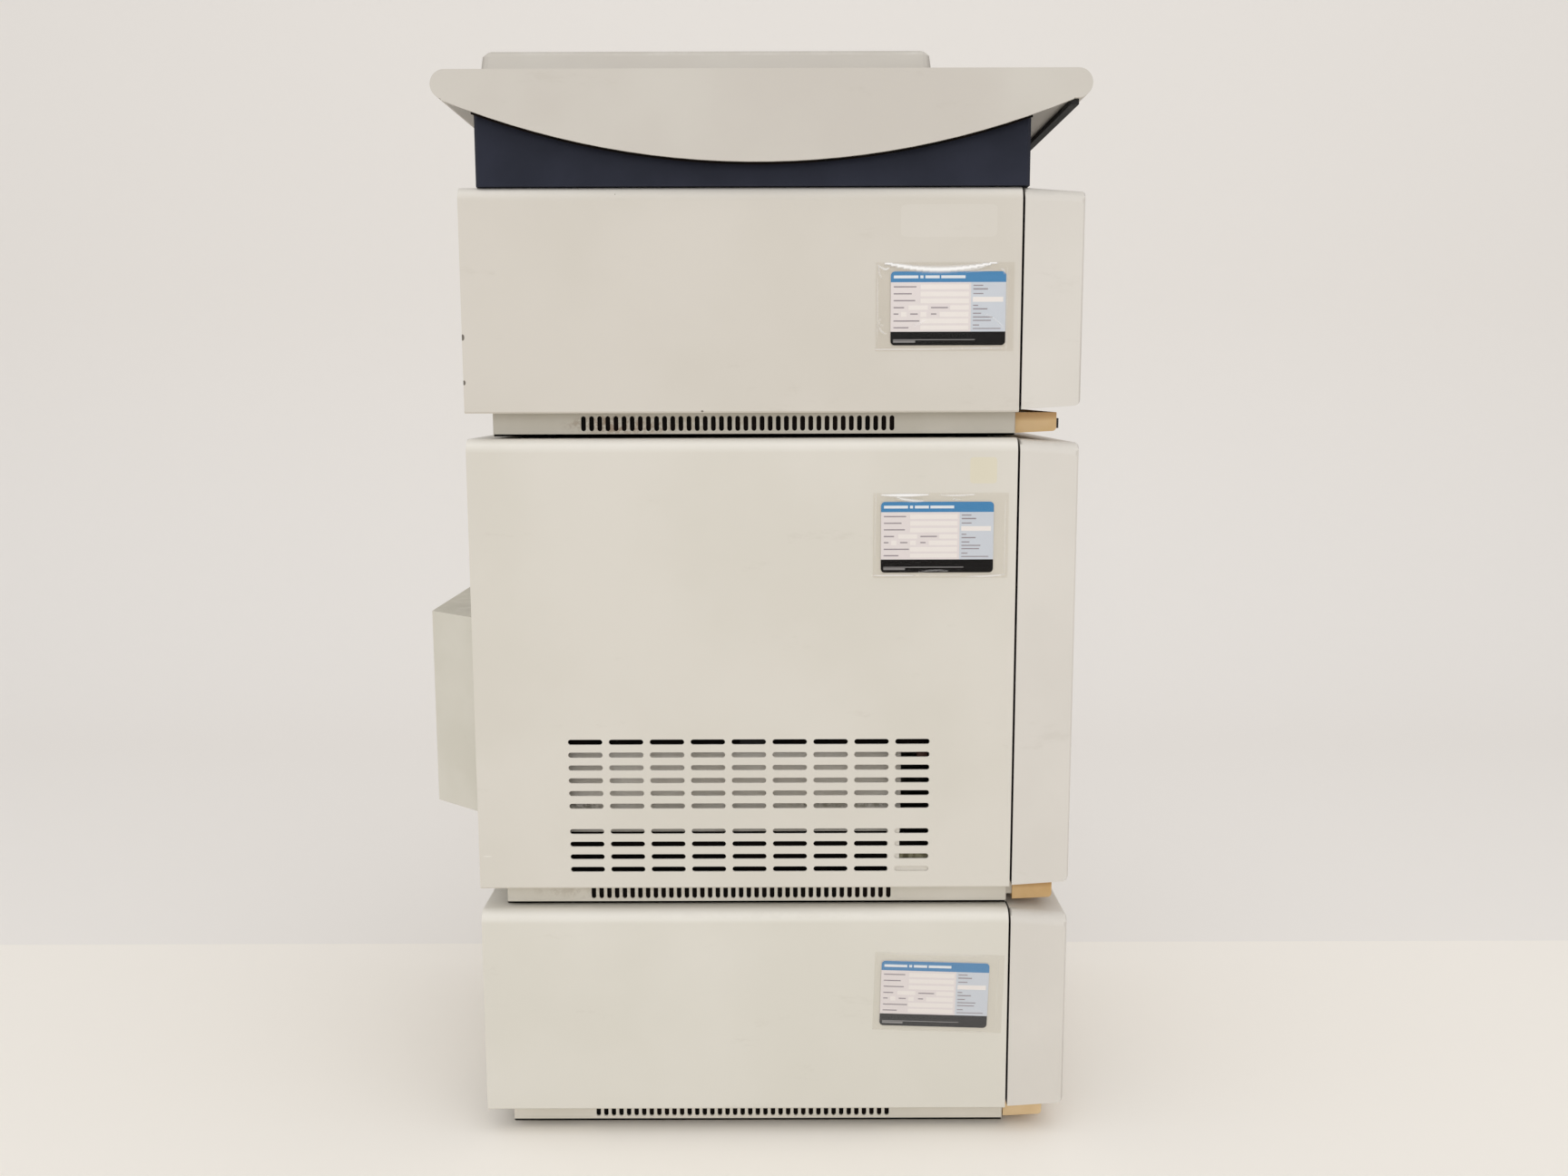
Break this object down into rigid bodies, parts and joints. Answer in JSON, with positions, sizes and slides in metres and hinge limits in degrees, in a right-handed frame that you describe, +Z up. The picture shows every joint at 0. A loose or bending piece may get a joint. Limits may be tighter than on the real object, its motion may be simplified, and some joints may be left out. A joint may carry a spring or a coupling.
{
  "type": "hplc system",
  "caption": "Stack of bench liquid chromatography modules, a pump, an autosampler and a detector, with hinged front doors and a solvent bottle tray on top.",
  "frame": {"origin": "middle of the stack's footprint, on the surface its feet stand on", "axes": "+Z up, +X towards the front doors, +Y towards the doors' hinge side"},
  "size_m": [0.5083, 0.38, 0.8542],
  "materials": {
    "case_paint": "satin",
    "base_paint": "satin",
    "door_plastic": "matte",
    "tray_plastic": "matte",
    "navy_plastic": "matte",
    "tan_plastic": "matte",
    "panel_plastic": "gloss",
    "black_plastic": "matte",
    "valve_plastic": "matte",
    "rack_plastic": "matte",
    "inner_sheet": "satin",
    "steel": "brushed",
    "aluminium": "satin",
    "board": "matte",
    "card": "satin",
    "clear_film": "gloss",
    "glass": "gloss",
    "rubber": "matte"
  },
  "bodies": {
    "stack": {"pump_cover": "case_paint", "pump_base": "base_paint", "pump_rear_panel": "case_paint", "pump_bulkhead": "inner_sheet", "pump_drip_tray": "tan_plastic", "sampler_cover": "case_paint", "sampler_base": "base_paint", "sampler_rear_panel": "case_paint", "sampler_bulkhead": "inner_sheet", "sampler_drip_tray": "tan_plastic", "detector_cover": "case_paint", "detector_base": "base_paint", "detector_rear_panel": "case_paint", "detector_bulkhead": "inner_sheet", "detector_drip_tray": "tan_plastic", "feet": "rubber", "hinge_rods": "steel", "fan_frames": "black_plastic", "power_inlets": "black_plastic", "power_supplies": "inner_sheet", "main_boards": "board", "label_cards": "card", "label_pouches": "clear_film", "tray_base": "navy_plastic", "solvent_tray": "tray_plastic", "bottle_well": "tray_plastic", "rear_hood": "case_paint", "drain_spout": "black_plastic", "pump_drive": "aluminium", "pump_heads": "steel", "purge_valve": "steel", "proportioning_valve": "valve_plastic", "cooling_unit": "inner_sheet", "sample_compartment": "inner_sheet", "sample_racks": "rack_plastic", "needle_gantry": "aluminium", "injection_valve": "steel", "syringe_barrel": "glass", "optical_bench": "aluminium", "lamp_housing": "aluminium", "flow_cell": "steel", "side_frame": "inner_sheet", "tray_edging": "rubber"},
    "pump_door": {"pump_door": "door_plastic", "pump_control_panel": "panel_plastic"},
    "pump_switch": {"pump_power_switch": "black_plastic"},
    "pump_fan": {"pump_fan_rotor": "black_plastic"},
    "sampler_door": {"sampler_door": "door_plastic", "sampler_control_panel": "panel_plastic"},
    "sampler_switch": {"sampler_power_switch": "black_plastic"},
    "sampler_fan": {"sampler_fan_rotor": "black_plastic"},
    "detector_door": {"detector_door": "door_plastic", "detector_control_panel": "panel_plastic"},
    "detector_switch": {"detector_power_switch": "black_plastic"},
    "detector_fan": {"detector_fan_rotor": "black_plastic"},
    "purge_knob": {"purge_knob": "black_plastic"},
    "needle_carriage": {"needle_carriage": "aluminium"},
    "needle_head": {"needle_head": "steel"},
    "syringe_plunger": {"syringe_plunger": "steel"}
  },
  "joints": [
    {"name": "pump_door_hinge", "type": "hinge", "parent": "stack", "child": "pump_door", "pos_m": [0.22265, 0.174, 0.105], "axis": [0, 0, 1], "range_deg": [0, 110]},
    {"name": "pump_switch_rock", "type": "hinge", "parent": "stack", "child": "pump_switch", "pos_m": [-0.20315, -0.11, 0.096], "axis": [0, -1, 0], "range_deg": [0, 16]},
    {"name": "pump_fan_spin", "type": "hinge", "parent": "stack", "child": "pump_fan", "pos_m": [-0.1946, 0.09, 0.114], "axis": [1, 0, 0], "continuous": true},
    {"name": "sampler_door_hinge", "type": "hinge", "parent": "stack", "child": "sampler_door", "pos_m": [0.22265, 0.174, 0.3836], "axis": [0, 0, 1], "range_deg": [0, 110]},
    {"name": "sampler_switch_rock", "type": "hinge", "parent": "stack", "child": "sampler_switch", "pos_m": [-0.20315, -0.11, 0.4794], "axis": [0, -1, 0], "range_deg": [0, 16]},
    {"name": "sampler_fan_spin", "type": "hinge", "parent": "stack", "child": "sampler_fan", "pos_m": [-0.2416, 0, 0.3419], "axis": [1, 0, 0], "continuous": true},
    {"name": "detector_door_hinge", "type": "hinge", "parent": "stack", "child": "detector_door", "pos_m": [0.22265, 0.174, 0.6623], "axis": [0, 0, 1], "range_deg": [0, 110]},
    {"name": "detector_switch_rock", "type": "hinge", "parent": "stack", "child": "detector_switch", "pos_m": [-0.20315, -0.11, 0.6533], "axis": [0, -1, 0], "range_deg": [0, 16]},
    {"name": "detector_fan_spin", "type": "hinge", "parent": "stack", "child": "detector_fan", "pos_m": [-0.1946, 0.09, 0.6713], "axis": [1, 0, 0], "continuous": true},
    {"name": "purge_turn", "type": "hinge", "parent": "stack", "child": "purge_knob", "pos_m": [0.18, 0.095, 0.106], "axis": [1, 0, 0], "range_deg": [0, 270]},
    {"name": "carriage_slide", "type": "slide", "parent": "stack", "child": "needle_carriage", "axis": [0, 1, 0], "range_m": [-0.1, 0.1]},
    {"name": "needle_lift", "type": "slide", "parent": "needle_carriage", "child": "needle_head", "axis": [0, 0, 1], "range_m": [-0.06, 0]},
    {"name": "plunger_slide", "type": "slide", "parent": "stack", "child": "syringe_plunger", "axis": [0, 0, 1], "range_m": [-0.04, 0]}
  ]
}
